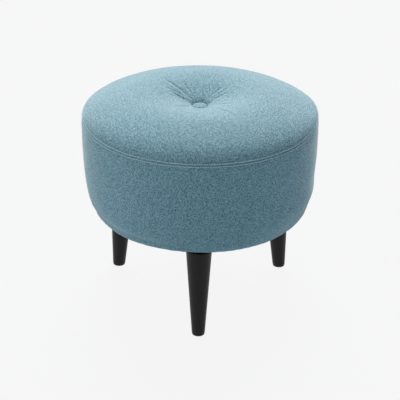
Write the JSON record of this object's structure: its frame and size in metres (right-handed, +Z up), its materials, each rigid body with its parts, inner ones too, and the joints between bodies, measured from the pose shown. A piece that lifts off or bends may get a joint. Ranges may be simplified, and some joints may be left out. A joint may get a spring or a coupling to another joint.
{
  "type": "footstool",
  "caption": "Round upholstered footstool with a crowned, button-tufted seat, a sewn padded side band and tapered splayed legs.",
  "frame": {"origin": "on the floor, under the middle of the round seat, level with the bottoms of the foot glides", "axes": "+Z up; +Y to the back, away from the single front leg; +X to the right"},
  "size_m": [0.42, 0.42, 0.3837],
  "materials": {
    "teal_cloth": "matte",
    "white_fibre": "matte",
    "foam": "matte",
    "plywood": "matte",
    "pine": "matte",
    "hardboard": "matte",
    "zinc_steel": "satin",
    "waxed_twine": "matte",
    "black_lacquer": "satin",
    "black_nylon": "matte",
    "black_cloth": "matte"
  },
  "bodies": {
    "root": {"cover_top": "teal_cloth", "cover_side": "teal_cloth", "tuft_button": "teal_cloth", "seat_wadding": "white_fibre", "seat_foam": "foam", "side_padding": "foam", "base_board": "plywood", "top_board": "plywood", "frame_post_1": "pine", "frame_post_2": "pine", "frame_post_3": "pine", "frame_post_4": "pine", "frame_post_5": "pine", "frame_post_6": "pine", "side_wall": "hardboard", "base_screw_1": "zinc_steel", "base_screw_2": "zinc_steel", "base_screw_3": "zinc_steel", "base_screw_4": "zinc_steel", "base_screw_5": "zinc_steel", "base_screw_6": "zinc_steel", "top_screw_1": "zinc_steel", "top_screw_2": "zinc_steel", "top_screw_3": "zinc_steel", "top_screw_4": "zinc_steel", "top_screw_5": "zinc_steel", "top_screw_6": "zinc_steel", "button_back": "zinc_steel", "tuft_twine": "waxed_twine", "tuft_washer": "zinc_steel", "leg_1": "black_lacquer", "leg_2": "black_lacquer", "leg_3": "black_lacquer", "hanger_bolt_1": "zinc_steel", "hanger_bolt_2": "zinc_steel", "hanger_bolt_3": "zinc_steel", "t_nut_1": "zinc_steel", "t_nut_2": "zinc_steel", "t_nut_3": "zinc_steel", "foot_glide_1": "black_nylon", "foot_glide_2": "black_nylon", "foot_glide_3": "black_nylon", "dust_cover": "black_cloth"}
  },
  "joints": []
}
